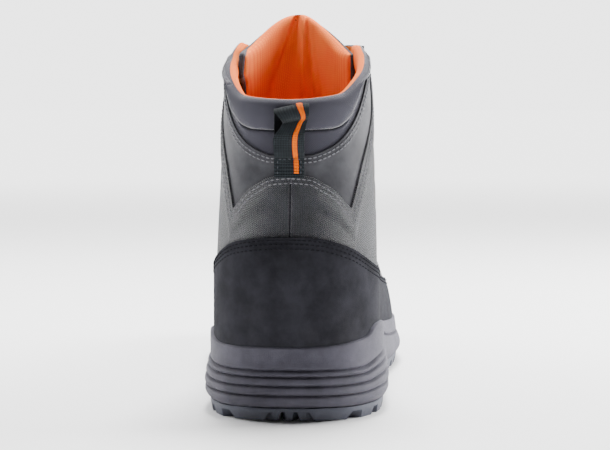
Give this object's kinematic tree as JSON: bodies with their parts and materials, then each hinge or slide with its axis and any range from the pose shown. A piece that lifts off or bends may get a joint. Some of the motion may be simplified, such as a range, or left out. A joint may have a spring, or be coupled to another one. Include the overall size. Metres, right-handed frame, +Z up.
{
  "type": "wading boot",
  "caption": "Right lace-up wading boot with a ribbed cup midsole, lugged outsole, rubbered rand, padded cuff, tongue and a pull loop at the heel.",
  "frame": {"origin": "on the floor, at the middle of the sole's box", "axes": "+Y from the heel to the toe, +X to the wearer's right, which is the outer side, and +Z up"},
  "size_m": [0.1069, 0.3121, 0.1869],
  "materials": {
    "outsole_rubber": "matte",
    "midsole_foam": "matte foam",
    "lining_cloth": "brushed",
    "woven_cloth": "woven",
    "rand_nubuck": "rubbered nubuck",
    "wrap_nubuck": "satin nubuck",
    "cuff_cloth": "matte padded",
    "lace_cord": "braided",
    "webbing": "ribbed webbing",
    "eyelet_metal": "dark satin"
  },
  "bodies": {
    "root": {"ankle_wrap": "wrap_nubuck", "cuff": "cuff_cloth", "eyelet_inner_1": "eyelet_metal", "eyelet_inner_2": "eyelet_metal", "eyelet_inner_3": "eyelet_metal", "eyelet_inner_4": "eyelet_metal", "eyelet_inner_5": "eyelet_metal", "eyelet_outer_1": "eyelet_metal", "eyelet_outer_2": "eyelet_metal", "eyelet_outer_3": "eyelet_metal", "eyelet_outer_4": "eyelet_metal", "eyelet_outer_5": "eyelet_metal", "eyestay_inner": "wrap_nubuck", "eyestay_outer": "wrap_nubuck", "insole": "lining_cloth", "laces": "lace_cord", "midsole": "midsole_foam", "outsole": "outsole_rubber", "pull_loop": "webbing", "rand": "rand_nubuck", "tongue": "woven_cloth", "upper": "woven_cloth"}
  },
  "joints": []
}
